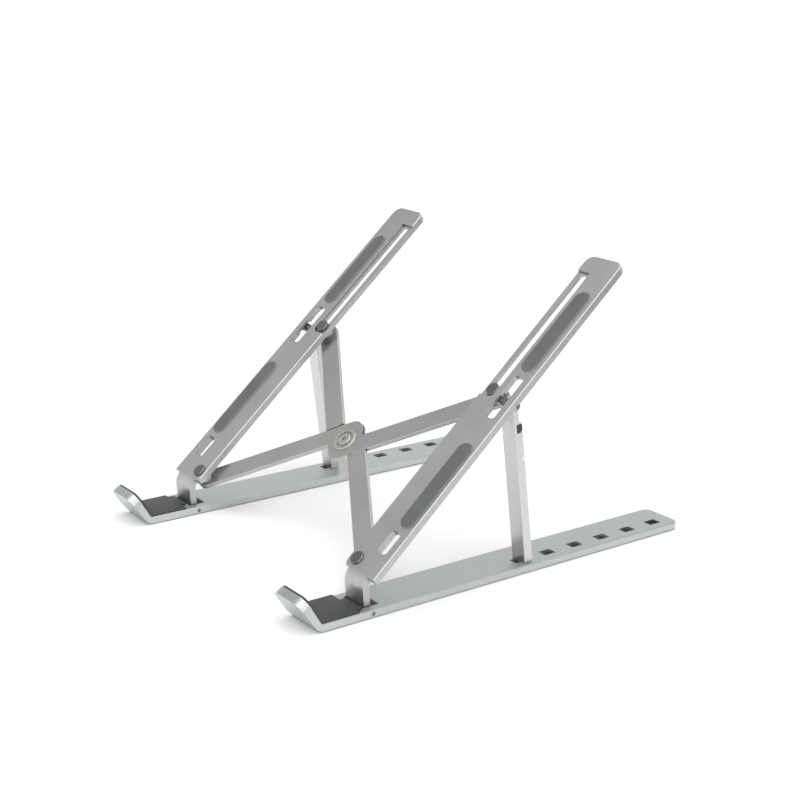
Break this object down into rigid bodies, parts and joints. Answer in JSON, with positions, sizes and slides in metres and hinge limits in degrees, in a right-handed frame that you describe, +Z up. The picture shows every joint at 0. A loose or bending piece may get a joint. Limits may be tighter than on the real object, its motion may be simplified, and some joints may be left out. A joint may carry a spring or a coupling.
{
  "type": "laptop stand",
  "caption": "Folding aluminium laptop stand: hooked base bars, sloping padded rails on prop legs, joined by a scissor of cross arms.",
  "frame": {"origin": "middle of the footprint, on the surface that the stand rests on", "axes": "+X to the right, +Y from the hooks to the back, +Z up"},
  "size_m": [0.1724, 0.2314, 0.1429],
  "materials": {
    "anodised_base": "satin anodised",
    "anodised_rail": "bead-blasted anodised",
    "anodised_leg": "brushed anodised",
    "anodised_arm": "brushed anodised",
    "hook_rubber": "matt charcoal silicone",
    "grip_rubber": "matt grey silicone",
    "foot_rubber": "matt black",
    "rivet_steel": "gunmetal",
    "dark_steel": "black oxide",
    "bright_steel": "bright plated",
    "nylon": "natural grey nylon",
    "black_plastic": "moulded black"
  },
  "bodies": {
    "left_base": {"left_base_bar": "anodised_base", "left_hook_pad": "hook_rubber", "left_front_foot": "foot_rubber", "left_rear_foot": "foot_rubber", "left_tilt_pin": "dark_steel", "left_tilt_sleeves": "nylon"},
    "left_rail": {"left_rail": "anodised_rail", "left_lower_grip": "grip_rubber", "left_upper_grip": "grip_rubber", "left_lower_rivet": "rivet_steel", "left_lower_spacer": "nylon", "left_leg_pin": "dark_steel"},
    "left_leg": {"left_leg": "anodised_leg", "left_leg_sleeve": "dark_steel", "left_leg_stop": "black_plastic", "left_leg_cross_pin": "bright_steel"},
    "right_base": {"right_base_bar": "anodised_base", "right_hook_pad": "hook_rubber", "right_front_foot": "foot_rubber", "right_rear_foot": "foot_rubber", "right_tilt_pin": "dark_steel", "right_tilt_sleeves": "nylon"},
    "right_rail": {"right_rail": "anodised_rail", "right_lower_grip": "grip_rubber", "right_upper_grip": "grip_rubber", "right_lower_rivet": "rivet_steel", "right_lower_spacer": "nylon", "right_leg_pin": "dark_steel"},
    "right_leg": {"right_leg": "anodised_leg", "right_leg_sleeve": "dark_steel", "right_leg_stop": "black_plastic", "right_leg_cross_pin": "bright_steel"},
    "top_arm": {"top_cross_arm": "anodised_arm", "hub_screw": "bright_steel", "hub_ring": "bright_steel", "right_upper_rivet": "rivet_steel", "right_upper_spacer": "nylon", "hub_nut": "dark_steel"},
    "bottom_arm": {"bottom_cross_arm": "anodised_arm", "hub_washer": "nylon", "left_upper_rivet": "rivet_steel", "left_upper_spacer": "nylon"}
  },
  "joints": [
    {"name": "rail_tilt", "type": "hinge", "parent": "left_base", "child": "left_rail", "pos_m": [-0.07493, -0.07701, 0.00206], "axis": [1, 0, 0], "range_deg": [0, 20]},
    {"name": "scissor", "type": "hinge", "parent": "left_rail", "child": "top_arm", "pos_m": [-0.06863, -0.06946, 0.0166], "axis": [0, -0.6668, 0.7452], "range_deg": [0, 50.37]},
    {"name": "hub_turn", "type": "hinge", "parent": "top_arm", "child": "bottom_arm", "pos_m": [0, -0.03147, 0.04898], "axis": [0, -0.6668, 0.7452], "range_deg": [-100.74, 0]},
    {"name": "right_rail_turn", "type": "hinge", "parent": "bottom_arm", "child": "right_rail", "pos_m": [0.06863, -0.06946, 0.0166], "axis": [0, -0.6668, 0.7452], "range_deg": [0, 50.38]},
    {"name": "right_base_tilt", "type": "hinge", "parent": "right_rail", "child": "right_base", "pos_m": [0.07493, -0.07701, 0.00206], "axis": [1, 0, 0], "range_deg": [-20.01, 0]},
    {"name": "left_leg_swing", "type": "hinge", "parent": "left_rail", "child": "left_leg", "pos_m": [-0.07493, 0.00125, 0.08357], "axis": [1, 0, 0], "range_deg": [-55.41, 0]},
    {"name": "right_leg_swing", "type": "hinge", "parent": "right_rail", "child": "right_leg", "pos_m": [0.07493, 0.00125, 0.08357], "axis": [1, 0, 0], "range_deg": [-55.41, 0]}
  ],
  "couplings": [
    {"joint": "hub_turn", "follows": "scissor", "ratio": -2},
    {"joint": "right_rail_turn", "follows": "scissor", "ratio": 1},
    {"joint": "right_base_tilt", "follows": "rail_tilt", "ratio": -1},
    {"joint": "left_leg_swing", "follows": "rail_tilt", "ratio": -2.77},
    {"joint": "right_leg_swing", "follows": "rail_tilt", "ratio": -2.77}
  ]
}
